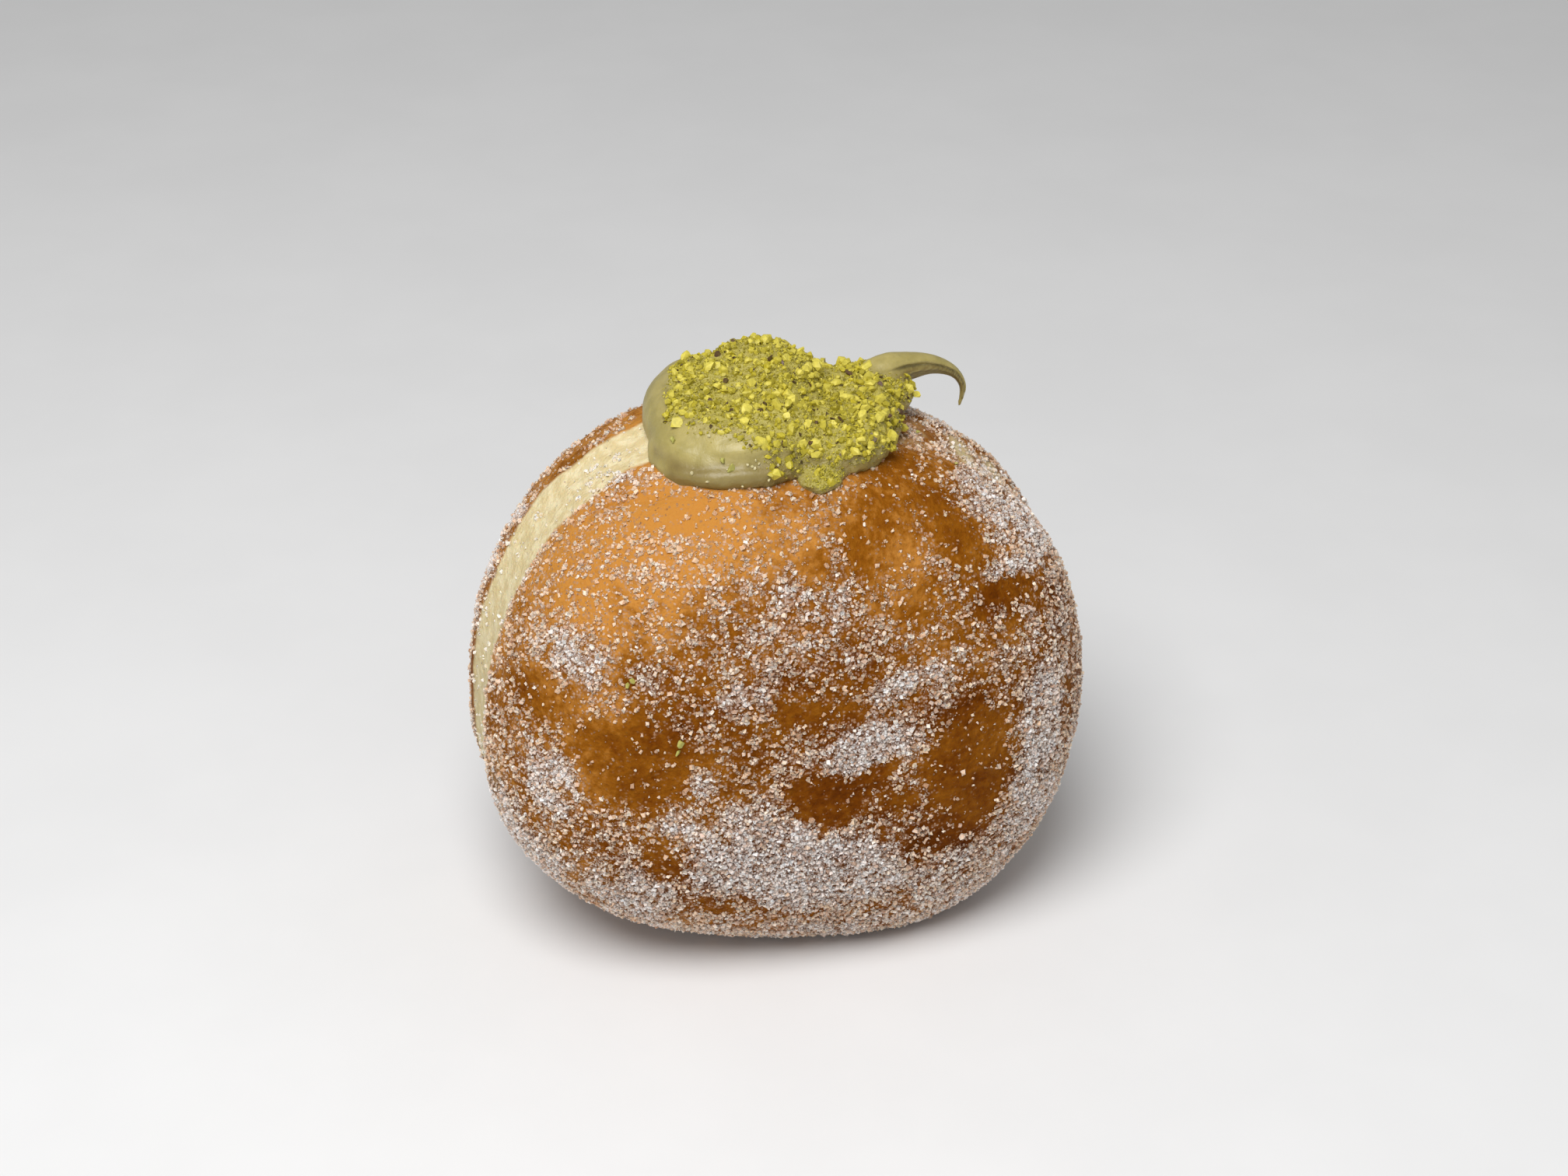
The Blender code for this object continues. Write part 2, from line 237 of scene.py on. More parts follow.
# A few pieces lie outside the nuts' field: crumbs on the crust and the cream, specks on the lip.
STRAY_CRUMBS = (
    (-26.9, -24.5, 16.5), (-26.4, -24.8, 17.4), (-20.5, -27.7, 8.3), (-20.9, -27.8, 6.9),
    (24.2, -6.1, 33.9), (21.0, 1.8, 35.6), (-11.0, -13.4, 42.9), (-9.9, -13.9, 41.7),
    (-16.3, -7.1, 43.0), (-15.9, -7.4, 42.4),
)
LIP_SPECKS = (
    (-15.1, -12.5, 41.2), (-13.2, -13.9, 40.3), (-7.7, -14.2, 42.3), (-7.1, -14.3, 42.0),
    (-6.5, -14.0, 42.6), (-6.1, -14.2, 42.2), (-6.8, -14.4, 41.7), (-10.4, -13.6, 41.2),
    (-5.2, -14.7, 40.2), (-8.6, -14.8, 39.6), (-12.0, -9.8, 44.9), (-10.2, -9.9, 45.3),
    (-3.4, -13.8, 41.4),
)
# The kind that they join, their places, size and colour.
STRAYS = {
    "nuts_green": (STRAY_CRUMBS, 1.35, (0.42, 0.40, 0.10)),
    "nuts_light": (LIP_SPECKS, 0.6, (0.62, 0.55, 0.32)),
}

# Colours are linear red, green and blue. A scale of them pairs each colour with its place.
CRUST_SCALE = (
    (0.24, (0.060, 0.0115, 0.0005)),
    (0.46, (0.145, 0.037, 0.0014)),
    (0.70, (0.245, 0.081, 0.0045)),
    (0.98, (0.50, 0.215, 0.040)),
)
FINE_SUGAR_SCALE = (
    (0.10, (0.24, 0.115, 0.045)),
    (0.50, (0.38, 0.225, 0.135)),
    (0.95, (0.64, 0.49, 0.41)),
)
BAND_COLOURS = ((0.63, 0.51, 0.275, 1.0), (0.74, 0.64, 0.40, 1.0))
# Painted shade: the crust between thick sugar grains is darkened towards this colour.
SHADE_BETWEEN_GRAINS_COLOUR = (0.105, 0.050, 0.026, 1.0)
CREAM_COLOURS = ((0.325, 0.268, 0.083, 1.0), (0.400, 0.330, 0.112, 1.0))
NUTTY_CREAM_COLOUR = (0.42, 0.36, 0.05, 1.0)
# Painted shade: the cream's crease, the underside of its front lip and the tail's near side are darkened
# towards this colour.
SHADED_CREAM_COLOUR = (0.165, 0.115, 0.030, 1.0)
NUT_GRAIN_COLOUR = (0.20, 0.18, 0.012, 1.0)
FLOOR_COLOURS = ((0.76, 0.76, 0.76, 1.0), (0.78, 0.78, 0.78, 1.0))
WARM_SUGAR = np.array([0.93, 0.66, 0.47])
WHITE_SUGAR = np.array([0.98, 0.86, 0.81])

# What shows through a clear grain: dark crust, golden crust and the band.
UNDER_GRAIN_DARK = np.array([0.21, 0.095, 0.04])
UNDER_GRAIN_GOLDEN = np.array([0.62, 0.35, 0.17])
UNDER_GRAIN_BAND = np.array([0.68, 0.56, 0.36])

# Lights in metres and watts: name, place, what it points at, width, power.
LIGHTS = (
    ("overhead", (-0.17, -0.27, 0.60), (0.0, 0.0, 0.05), 0.40, 4.3),
    ("front fill", (-0.2, -0.65, 0.25), (0.0, 0.0, 0.03), 0.6, 0.45),
)
SURROUNDING_LIGHT = 0.33

# The camera that the photo was taken with, worked out from the doughnut's outline. Its turn and
# height are in degrees, the rest in millimetres, with the aim in the picture's plane.
CAMERA_TURN = -14.1
CAMERA_HEIGHT = 31.1
CAMERA_DISTANCE = 444.1
CAMERA_AIM_RIGHT = 0.85
CAMERA_AIM_UP = 11.58
CAMERA_LENS = 70.0
CAMERA_SENSOR = 36.0

draw = np.random.default_rng(41)


def seated(point):
    """A place about the middle of the round, as a place in the frame's metres."""
    return Vector(point) * MM + Vector((0.0, 0.0, MIDDLE_HEIGHT * MM))


def new_piece(name, mesh):
    piece = bpy.data.objects.new(name, mesh)
    bpy.context.scene.collection.objects.link(piece)
    return piece


def from_bmesh(name, bm):
    mesh = bpy.data.meshes.new(name)
    bm.to_mesh(mesh)
    bm.free()
    return new_piece(name, mesh)


def apply_modifiers(piece):
    graph = bpy.context.evaluated_depsgraph_get()
    mesh = bpy.data.meshes.new_from_object(piece.evaluated_get(graph))
    piece.modifiers.clear()
    piece.data = mesh


def points_of(piece):
    """The piece's points, in millimetres about the middle of the round."""
    flat = np.empty(len(piece.data.vertices) * 3, np.float32)
    piece.data.vertices.foreach_get("co", flat)
    return flat.reshape(-1, 3).astype(float) / MM - MIDDLE


def set_points(piece, points):
    flat = ((points + MIDDLE) * MM).astype(np.float32).ravel()
    piece.data.vertices.foreach_set("co", flat)
    piece.data.update()


def normals_of(piece):
    flat = np.empty(len(piece.data.vertices) * 3, np.float32)
    piece.data.vertex_normals.foreach_get("vector", flat)
    return flat.reshape(-1, 3).astype(float)


def set_share(piece, name, values):
    """Gives each point of the piece a value from 0 to 1, for its finish to read."""
    layer = piece.data.attributes.new(name, "FLOAT", "POINT")
    layer.data.foreach_set("value", np.clip(values, 0.0, 1.0).astype(np.float32))


def set_tint(piece, colours):
    """Gives each point of the piece a colour, for its finish to read as tint."""
    layer = piece.data.attributes.new("tint", "FLOAT_COLOR", "POINT")
    solid = np.concatenate([np.clip(colours, 0.0, 1.0), np.ones((len(colours), 1))], axis=1)
    layer.data.foreach_set("color", solid.astype(np.float32).ravel())


def ramp(values, low, high):
    """0 below low, 1 above high, smooth between. With low above high it falls instead."""
    share = np.clip((values - low) / (high - low), 0.0, 1.0)
    return share * share * (3.0 - 2.0 * share)


def cloud(points, spacing, shift=0.0, octaves=2):
    """Soft random values from about -1 to 1, whose lumps are about the spacing apart.

    Each use has a shift of its own, so that no two of them look alike.
    """
    offset = Vector((shift, 3.1 * shift, 7.7 * shift))
    scaled = points / spacing
    return np.array([
        noise.fractal(Vector(point) + offset, 0.9, 2.1, octaves) for point in scaled
    ])


def patch(points, middle, half_width, half_height, turn):
    """1 in the middle of a patch on the broad face, down to 0 past its edge."""
    away = points - np.array(middle, float)
    c, s = math.cos(math.radians(turn)), math.sin(math.radians(turn))
    across = (away[:, 0] * c + away[:, 2] * s) / half_width
    up = (away[:, 2] * c - away[:, 0] * s) / half_height
    deep = away[:, 1] / PATCH_DEPTH
    return np.exp(-((across**2 + up**2 + deep**2) ** 2))


def patches(points, table):
    """The patches of a table, each times its amount, added up at each point."""
    total = np.zeros(len(points))
    for _, middle, half_width, half_height, turn, amount in table:
        total += amount * patch(points, middle, half_width, half_height, turn)
    return total


def distance_to_path(points, path):
    """How far each point lies from the nearest place on a path of straight steps."""
    nearest = np.full(len(points), np.inf)
    for start, end in zip(path, path[1:]):
        start, end = np.array(start, float), np.array(end, float)
        step = end - start
        share = np.clip((points - start) @ step / (step @ step), 0.0, 1.0)
        away = np.linalg.norm(points - start - share[:, None] * step, axis=1)
        nearest = np.minimum(nearest, away)
    return nearest


def angles_of(points):
    return np.degrees(np.arctan2(points[:, 2], points[:, 0]))


def turned_from(angles, middle):
    """How many degrees each angle lies from the middle one, either way."""
    return np.abs((angles - middle + 180.0) % 360.0 - 180.0)


def on_pale_side(points):
    """1 on the side where the band is palest, down to 0 round the rim from it."""
    return np.exp(-((turned_from(angles_of(points), BAND_PALEST_AT) / BAND_PALE_SPREAD) ** 3))


def band_share(points, wander):
    """How much of the pale band shows at each point."""
    away = np.abs(points[:, 1] - BAND_MIDDLE - BAND_WANDER * wander)
    inside = ramp(away, BAND_HALF_WIDTH + BAND_SOFT_EDGE, BAND_HALF_WIDTH - BAND_SOFT_EDGE)
    strength = BAND_FAINTEST + (1.0 - BAND_FAINTEST) * on_pale_side(points)
    turned = turned_from(angles_of(points), BAND_AGAIN_AT)
    strength += BAND_AGAIN_SHARE * np.exp(-((turned / BAND_AGAIN_SPREAD) ** 4))
    return inside * strength + patches(points, PALE_PATCHES)


def sugar_share(points, band):
    """How thick the sugar lies at each point, from 0 to 1."""
    x, y, z = points.T
    # More lies low, to the right and on the rim, and less at the top.
    even = 0.42 + 0.1 * ramp(z, 8.0, -18.0) + 0.06 * ramp(x, 2.0, 32.0)
    even += 0.08 * ramp(np.abs(y), 20.0, 8.0) - 0.04 * ramp(z, 22.0, 36.0) + 0.2 * ramp(z, -23.0, -30.0)
    # Where the photo doesn't reach, drifts and bare places are made up.
    drifts = cloud(points, 11.0, 2.0)
    unseen = ramp(y, -8.0, 4.0)
    even += unseen * (0.5 * ramp(drifts, 0.1, 0.5) - 0.5 * ramp(-drifts, 0.1, 0.45))
    share = even + 0.62 * patches(points, SUGAR_PATCHES) - 0.8 * patches(points, BARE_PATCHES)
    ragged = cloud(points, 6.0, 6.0)
    clumps = cloud(points, 2.4, 4.0, 3)
    share = np.clip(share + 0.14 * ragged, 0.04, 1.15)
    share *= np.clip(1.0 + (0.55 + 0.5 * unseen) * clumps, 0.15, 1.7)
    # On the band there is a little, whatever lies round it.
    powder = 0.02 + 0.25 * ramp(cloud(points, 5.0, 9.0), 0.2, 0.6)
    return share + ramp(band, 0.3, 0.8) * (powder - share)


def fold_and_wrinkles(points, normals, band):
    """Moves the crust's points: slow lumps, wrinkles, pits, a fold by the cream, the band's edge."""
    lumps = 0.22 * cloud(points, 13.0, 1.0)
    wrinkles = 0.09 * cloud(points, 2.6, 5.0, 3) * (1.0 + 0.8 * band)
    pits = -0.14 * ramp(cloud(points, 1.6, 8.0), 0.35, 0.75)
    fold = -FOLD_DEPTH * np.exp(-((distance_to_path(points, FOLD) / FOLD_WIDTH) ** 2))
    edge = 0.2 * np.exp(-(((np.abs(points[:, 1]) - BAND_HALF_WIDTH - 1.6) / 1.5) ** 2))
    moved = points + normals * (lumps + wrinkles + pits + fold + edge)[:, None]
    moved[:, 2] = np.maximum(moved[:, 2], -MIDDLE_HEIGHT)
    return moved


def make_crust():
    """The fried dough: the frame's own solid, refined, wrinkled and told where it is pale."""
    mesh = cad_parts["dough"].data.copy()
    mesh.materials.clear()
    bm = bmesh.new()
    bm.from_mesh(mesh)
    bmesh.ops.remove_doubles(bm, verts=bm.verts, dist=0.01 * MM)
    crust = from_bmesh("crust", bm)
    rounder = crust.modifiers.new("rounder", "SUBSURF")
    rounder.levels = rounder.render_levels = 2
    fine = crust.modifiers.new("fine", "REMESH")
    fine.mode = "VOXEL"
    fine.voxel_size = CRUST_VOXEL * MM
    even = crust.modifiers.new("even", "SMOOTH")
    even.factor = 0.5
    even.iterations = 8
    apply_modifiers(crust)
    points = points_of(crust)
    band = band_share(points, cloud(points, 9.0, 3.0))
    sugar = sugar_share(points, band)
    set_points(crust, fold_and_wrinkles(points, normals_of(crust), band))
    set_share(crust, "band", band)
    set_share(crust, "sugar", sugar)
    set_share(crust, "frying", frying_share(points))
    crust.data.shade_smooth()
    crust.data.materials.append(crust_finish())
    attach(crust, "root")
    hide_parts("dough")
    return crust, sugar


def frying_share(points):
    """How light the crust is fried, from 0, dark brown, to 1, golden."""
    x, y, z = points.T
    # Lighter at the top and by the band, darker to the right and behind.
    share = 0.37 + 0.15 * ramp(z, 0.0, 32.0) - 0.12 * ramp(x, -12.0, 26.0)
    share += patches(points, FRYING_PATCHES)
    near_band = np.exp(-(((np.abs(y - BAND_MIDDLE) - BAND_HALF_WIDTH) / 3.0) ** 2))
    share += 0.3 * near_band * on_pale_side(points) * ramp(y, 4.0, -2.0)
    share -= 0.06 * ramp(y, 2.0, 10.0)
    return share + 0.2 * cloud(points, 8.0, 12.0, 3) + 0.08 * cloud(points, 2.5, 13.0)


def add_node(material, kind, inputs=(), **settings):
    """A new node with its settings, its inputs joined to other nodes or set to values."""
    node = material.node_tree.nodes.new(kind)
    for name, value in settings.items():
        setattr(node, name, value)
    for name, value in dict(inputs).items():
        join_or_set(material, node.inputs[name], value)
    return node


def join_or_set(material, socket, value):
    if isinstance(value, bpy.types.NodeSocket):
        material.node_tree.links.new(value, socket)
    else:
        socket.default_value = value


def new_finish(name):
    """A new material, its shader and the place on the object that is being coloured."""
    material = bpy.data.materials.new(name)
    material.use_nodes = True
    shader = material.node_tree.nodes["Principled BSDF"]
    place = add_node(material, "ShaderNodeTexCoord").outputs["Object"]
    return material, shader, place


def set_surface(material, shader, colour, roughness):
    join_or_set(material, shader.inputs["Base Color"], colour)
    join_or_set(material, shader.inputs["Roughness"], roughness)


def let_light_in(shader, weight, radius, depth):
    """Lets light into the surface, red, green and blue by the radius, about so many millimetres."""
    shader.inputs["Subsurface Weight"].default_value = weight
    shader.inputs["Subsurface Radius"].default_value = radius
    shader.inputs["Subsurface Scale"].default_value = depth * MM


def speckle(material, place, spacing, detail=3.0, roughness=0.6):
    """Noise whose lumps are about the spacing apart, in millimetres."""
    inputs = {"Vector": place, "Scale": 1.0 / (spacing * MM), "Detail": detail, "Roughness": roughness}
    return add_node(material, "ShaderNodeTexNoise", inputs).outputs["Fac"]


def attribute(material, name, output="Fac"):
    """What set_share or set_tint stored on the piece."""
    return add_node(material, "ShaderNodeAttribute", attribute_name=name).outputs[output]


def sum_of(material, first, second, scale=1.0):
    """first + second * scale"""
    inputs = {0: second, 1: scale, 2: first}
    return add_node(material, "ShaderNodeMath", inputs, operation="MULTIPLY_ADD").outputs[0]


def product(material, first, second):
    return add_node(material, "ShaderNodeMath", {0: first, 1: second}, operation="MULTIPLY").outputs[0]


def between(material, value, low, high, to_low=0.0, to_high=1.0):
    """Turns values from low to high smoothly into values from to_low to to_high."""
    inputs = {"Value": value, "From Min": low, "From Max": high, "To Min": to_low, "To Max": to_high}
    return add_node(material, "ShaderNodeMapRange", inputs, interpolation_type="SMOOTHSTEP").outputs[0]


def mixed(material, share, first, second):
    """The first colour where the share is 0, the second where it is 1."""
    node = add_node(material, "ShaderNodeMix", data_type="RGBA")
    colours = [socket for socket in node.inputs if socket.type == "RGBA"]
    join_or_set(material, node.inputs[0], share)
    join_or_set(material, colours[0], first)
    join_or_set(material, colours[1], second)
    return next(socket for socket in node.outputs if socket.type == "RGBA")


def colour_scale(material, value, stops):
    """The colour at the value's place on a scale of stops."""
    node = add_node(material, "ShaderNodeValToRGB", {"Fac": value})
    elements = node.color_ramp.elements
    while len(elements) < len(stops):
        elements.new(0.5)
    for element, (place, rgb) in zip(elements, stops):
        element.position = place
        element.color = (*rgb, 1.0)
    return node.outputs["Color"]


def bumped(material, height, depth):
    inputs = {"Height": height, "Distance": depth * MM, "Strength": 1.0}
    return add_node(material, "ShaderNodeBump", inputs).outputs["Normal"]


def with_fine_sugar(material, place, crust):
    """Colours the crust between the true grains with crystals too fine to model."""
    scale = 1.0 / (FINE_SUGAR_DRIFT_SPACING * MM)
    drift = add_node(material, "ShaderNodeTexNoise", {"Vector": place, "Scale": scale})
    reach = (FINE_SUGAR_DRIFT * MM,) * 3
    inputs = {0: drift.outputs["Color"], 1: reach, 2: place}
    shifted = add_node(material, "ShaderNodeVectorMath", inputs, operation="MULTIPLY_ADD").outputs[0]
    scale = 1.0 / (FINE_SUGAR_SIZE * MM)
    cells = add_node(material, "ShaderNodeTexVoronoi", {"Vector": shifted, "Scale": scale})
    chances = add_node(material, "ShaderNodeSeparateColor", {"Color": cells.outputs["Color"]})
    thick = attribute(material, "sugar")
    # A cell shows by chance, more often where the sugar is thick, and less on the band.
    shown = sum_of(material, chances.outputs["Red"], thick, 0.85)
    shown = sum_of(material, shown, speckle(material, place, 1.4), 1.0)
    shown = between(material, shown, 1.42, 1.56)
    inner = between(material, cells.outputs["Distance"], 0.35, 0.7, 1.0, 0.1)
    off_band = between(material, attribute(material, "band"), 0.2, 0.6, 0.8, 0.1)
    share = product(material, product(material, shown, inner), off_band)
    paleness = sum_of(material, product(material, chances.outputs["Green"], 0.55), thick, 0.6)
    crystals = colour_scale(material, paleness, FINE_SUGAR_SCALE)
    return mixed(material, share, crust, crystals)


def crust_finish():
    material, shader, place = new_finish("fried crust")
    frying = sum_of(material, attribute(material, "frying"), speckle(material, place, 1.1), 0.56)
    frying = sum_of(material, frying, speckle(material, place, 5.0), 0.1)
    crust = colour_scale(material, frying, CRUST_SCALE)
    pale = mixed(material, between(material, speckle(material, place, 1.8), 0.4, 0.65), *BAND_COLOURS)
    ragged = sum_of(material, attribute(material, "band"), speckle(material, place, 2.0), 0.35)
    crust = mixed(material, between(material, ragged, 0.42, 0.85), crust, pale)
    # Painted shade between the grains: the crust darkens where the sugar lies thick.
    shade_between_grains = between(material, attribute(material, "sugar"), 0.45, 1.0, 0.0, 0.6)
    crust = mixed(material, shade_between_grains, crust, SHADE_BETWEEN_GRAINS_COLOUR)
    crust = with_fine_sugar(material, place, crust)
    rough = between(material, speckle(material, place, 0.9), 0.3, 0.7, 0.42, 0.62)
    set_surface(material, shader, crust, rough)
    shader.inputs["Specular IOR Level"].default_value = 0.02
    let_light_in(shader, 0.12, (1.0, 0.45, 0.2), 1.2)
    pores = sum_of(material, speckle(material, place, 0.55, 4.0), speckle(material, place, 2.2), 1.0)
    join_or_set(material, shader.inputs["Normal"], bumped(material, pores, 0.22))
    return material


def along(stations, place):
    """Reads a smooth curve through the stations, at a place counted in stations."""
    last = len(stations) - 1
    start = min(int(place), last - 1)
    share = place - start
    before, here, after, beyond = (
        stations[min(max(start + offset, 0), last)] for offset in (-1, 0, 1, 2)
    )
    bend = 2.0 * before - 5.0 * here + 4.0 * after - beyond
    twist = -before + 3.0 * here - 3.0 * after + beyond
    return here + 0.5 * share * (after - before + share * (bend + share * twist))


def tail_frame(place):
    """Centre, upward and inward directions, half height and half depth of the tail."""
    centres = [Vector(centre) for centre, _, _ in TAIL]
    last = len(TAIL) - 1.0
    forward = along(centres, min(place + 0.1, last)) - along(centres, max(place - 0.1, 0.0))
    forward.normalize()
    upward = Vector((0.0, -1.0, 0.0)).cross(forward).normalized()
    half_height = along([height for _, height, _ in TAIL], place)
    half_depth = along([depth for _, _, depth in TAIL], place)
    return along(centres, place), upward, forward.cross(upward), half_height, half_depth


def add_tail(bm):
    """A rod bent along the tail's stations, from inside the mound out to its curled tip."""
    rod = bmesh.new()
    bmesh.ops.create_cone(
        rod,
        cap_ends=True,
        segments=TAIL_SIDES,
        radius1=1.0,
        radius2=1.0,
        depth=1.0,
        matrix=Matrix.Translation((0.0, 0.0, 0.5)),
    )
    lengthwise = [edge for edge in rod.edges if abs(edge.verts[0].co.z - edge.verts[1].co.z) > 0.5]
    bmesh.ops.subdivide_edges(rod, edges=lengthwise, cuts=TAIL_RINGS)
    for vert in rod.verts:
        centre, upward, inward, half_height, half_depth = tail_frame(vert.co.z * (len(TAIL) - 1))
        offset = upward * (vert.co.x * half_height) + inward * (vert.co.y * half_depth)
        vert.co = seated(centre + offset)
    bmesh.ops.recalc_face_normals(rod, faces=rod.faces)
    mesh = bpy.data.meshes.new("tail")
    rod.to_mesh(mesh)
    rod.free()
    bm.from_mesh(mesh)
    bpy.data.meshes.remove(mesh)


def cream_shape():
    """The lobes and the tail under one skin."""
    bm = bmesh.new()
    for _, centre, half_sizes, turn in LOBES:
        place = (
            Matrix.Translation(seated(centre))
            @ Matrix.Rotation(math.radians(turn), 4, "Z")
            @ Matrix.Diagonal((*half_sizes, 1.0))
            @ Matrix.Scale(MM, 4)
        )
        bmesh.ops.create_icosphere(bm, subdivisions=5, radius=1.0, matrix=place)
    add_tail(bm)
    cream = from_bmesh("cream_mound", bm)
    skin = cream.modifiers.new("one skin", "REMESH")
    skin.mode = "VOXEL"
    skin.voxel_size = CREAM_VOXEL * MM
    apply_modifiers(cream)
    return cream


def soften(piece, rounds, spared):
    """Rounds off the creases between lobes, all but the thin end of the tail."""
    bm = bmesh.new()
    bm.from_mesh(piece.data)
    bm.verts.ensure_lookup_table()
    soft = [bm.verts[index] for index in np.flatnonzero(~spared)]
    for _ in range(rounds):
        bmesh.ops.smooth_vert(
            bm, verts=soft, factor=0.5, use_axis_x=True, use_axis_y=True, use_axis_z=True
        )
    bm.to_mesh(piece.data)
    bm.free()


def groove_tail(points):
    """Hollows the tail's near side, draws fine streaks along it and gives the painted shade, in streaks,
    that darkens it there.
    """
    moved = points.copy()
    shade = np.zeros(len(points))
    places = np.linspace(0.0, len(TAIL) - 1.0, 121)
    frames = [tail_frame(float(place)) for place in places]
    centres = np.array([frame_here[0] for frame_here in frames])
    for index in np.flatnonzero(points[:, 0] > TAIL_GROOVED_FROM_X):
        away = points[index] - centres
        nearest = int((away**2).sum(axis=1).argmin())
        _, upward, inward, half_height, half_depth = frames[nearest]
        offset = Vector(away[nearest])
        up = offset.dot(upward) / half_height
        near_side = -offset.dot(inward) / half_depth if inward.y > 0 else offset.dot(inward) / half_depth
        if abs(up) > 1.3 or near_side < -0.2 or offset.length > 3.6:
            continue
        grown = min(1.0, max(0.0, places[nearest] - 0.6))
        grooves = math.exp(-((up - 0.28) / 0.17) ** 2) + 0.45 * math.exp(-((up + 0.35) / 0.4) ** 2)
        hollow = TAIL_GROOVE_DEPTH * half_depth / 2.0 * grooves
        streak = 0.07 * math.sin(2.0 * math.pi * up * half_height / TAIL_STREAK_SPACING)
        near = grown * max(0.0, min(1.0, near_side + 0.2))
        moved[index, 1] += near * (hollow + streak)
        low = max(0.0, min(1.0, (0.38 - up) / 0.2))
        wave = math.sin(2.0 * math.pi * up * half_height / TAIL_SHADE_SPACING)
        shade[index] = near * low * (0.7 + 0.35 * wave)
    return moved, shade


def nearest_on(surface, points):
    """The nearest place on the surface to each point, its normal, how far off and how high it is."""
    for point in points:
        spot, normal, _, away = surface.find_nearest(Vector(point))
        yield spot, normal, away, (Vector(point) - spot).dot(normal)


def hug_crust(points, crust_surface):
    """Draws what would lie deep in the dough up to just under its skin."""
    moved = points.copy()
    for index, (spot, normal, _, height) in enumerate(nearest_on(crust_surface, points)):
        if height < -DEPTH_UNDER_CRUST:
            moved[index] = spot - normal * DEPTH_UNDER_CRUST
    return moved


def cream_relief(points, from_crease):
    """How far the cream's points are raised: lumps, crumbly ground under the nuts, the crease."""
    lumps = 0.35 * cloud(points, 8.0, 21.0) + 0.05 * cloud(points, 1.4, 22.0)
    crumbly = nut_field(points) * (0.4 * cloud(points, 2.0, 24.0) + 0.22 * cloud(points, 0.9, 25.0))
    on_mound = ramp(points[:, 0], 22.0, 17.0)
    crease = -CREASE_DEPTH * np.exp(-(from_crease**2))
    ledge = 0.3 * np.exp(-((from_crease - 2.1) ** 2)) * ramp(points[:, 2], 41.5, 43.5)
    return (lumps + crumbly) * on_mound + crease + ledge


def lip_shade(points, from_crease):
    """How much painted shade darkens the cream in its crease and under the front lip."""
    x, y, z = points.T
    below = ramp(z, 42.6, 40.6) * ramp(y, -7.5, -10.5) * ramp(x, 2.0, -1.5)
    return 0.45 * np.exp(-(from_crease**2)) + 0.62 * below


def make_cream(crust_surface):
    """The piped cream: lobes under one skin, softened, with its relief, painted shade and nutty ground."""
    cream = cream_shape()
    points = points_of(cream)
    thin_tail = points[:, 0] > TAIL_THIN_FROM_X
    soften(cream, 12, thin_tail)
    soften(cream, 2, ~thin_tail)
    points = points_of(cream)
    from_crease = distance_to_path(points, CREASE) / CREASE_WIDTH
    moved = points + normals_of(cream) * cream_relief(points, from_crease)[:, None]
    moved, tail_shade = groove_tail(moved)
    shade = lip_shade(points, from_crease)
    set_points(cream, hug_crust(moved, crust_surface))
    cream.data.shade_smooth()
    points = points_of(cream)
    set_share(cream, "nutty", nut_field(points) * ramp(normals_of(cream)[:, 2], -0.2, 0.4))
    set_share(cream, "shade", np.maximum(tail_shade, shade))
    cream.data.materials.append(cream_finish())
    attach(cream, "root")
    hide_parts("cream")
    return cream


def cream_finish():
    material, shader, place = new_finish("pistachio cream")
    slow = between(material, speckle(material, place, 3.0), 0.35, 0.65)
    colour = mixed(material, slow, *CREAM_COLOURS)
    dust = sum_of(material, attribute(material, "nutty"), speckle(material, place, 0.6), 0.9)
    dust = between(material, dust, 1.15, 1.5, 0.0, 0.75)
    colour = mixed(material, dust, colour, NUTTY_CREAM_COLOUR)
    # Painted shade in the crease, under the lip and on the tail's near side.
    colour = mixed(material, attribute(material, "shade"), colour, SHADED_CREAM_COLOUR)
    set_surface(material, shader, colour, 0.42)
    let_light_in(shader, 0.25, (1.0, 0.9, 0.4), 1.5)
    soft = sum_of(material, speckle(material, place, 1.2), speckle(material, place, 0.4), 0.4)
    crumbs = product(material, speckle(material, place, 0.5), attribute(material, "nutty"))
    soft = sum_of(material, soft, crumbs, 3.5)
    join_or_set(material, shader.inputs["Normal"], bumped(material, soft, 0.1))
    return material


def nut_field(points):
    """1 where chopped nuts fell on the cream, 0 outside, ragged between."""
    ragged = 2.0 * cloud(points, 3.6, 31.0)
    x, y, z = points.T
    field = ramp(x - 0.25 * y + 0.5 * ragged, NUTS_FROM_X - 0.5, NUTS_FROM_X + 0.9)
    field *= ramp(x + ragged, NUTS_TO_X + 1.0, NUTS_TO_X - 1.0)
    field *= ramp(y - 0.4 * x + ragged, NUTS_REAR + 1.0, NUTS_REAR - 1.0)
    above_tail = z + 0.31 * (x - 13.4) - 43.3
    field *= 1.0 - ramp(x, 11.0, 13.0) * ramp(above_tail, 0.7, 1.5)
    return field * ramp(x + y + ragged, NUTS_FROM_SUM - 1.5, NUTS_FROM_SUM + 2.2)


def triangles_of(piece):
    """The piece's faces as triangles of point numbers."""
    piece.data.calc_loop_triangles()
    flat = np.empty(len(piece.data.loop_triangles) * 3, np.int32)
    piece.data.loop_triangles.foreach_get("vertices", flat)
    return flat.reshape(-1, 3)


def weighed_areas(points, triangles, weight):
    """Each triangle's area, in square millimetres, times its weight."""
    corners = points[triangles]
    crossed = np.cross(corners[:, 1] - corners[:, 0], corners[:, 2] - corners[:, 0])
    return np.linalg.norm(crossed, axis=1) / 2.0 * weight[triangles].mean(axis=1)


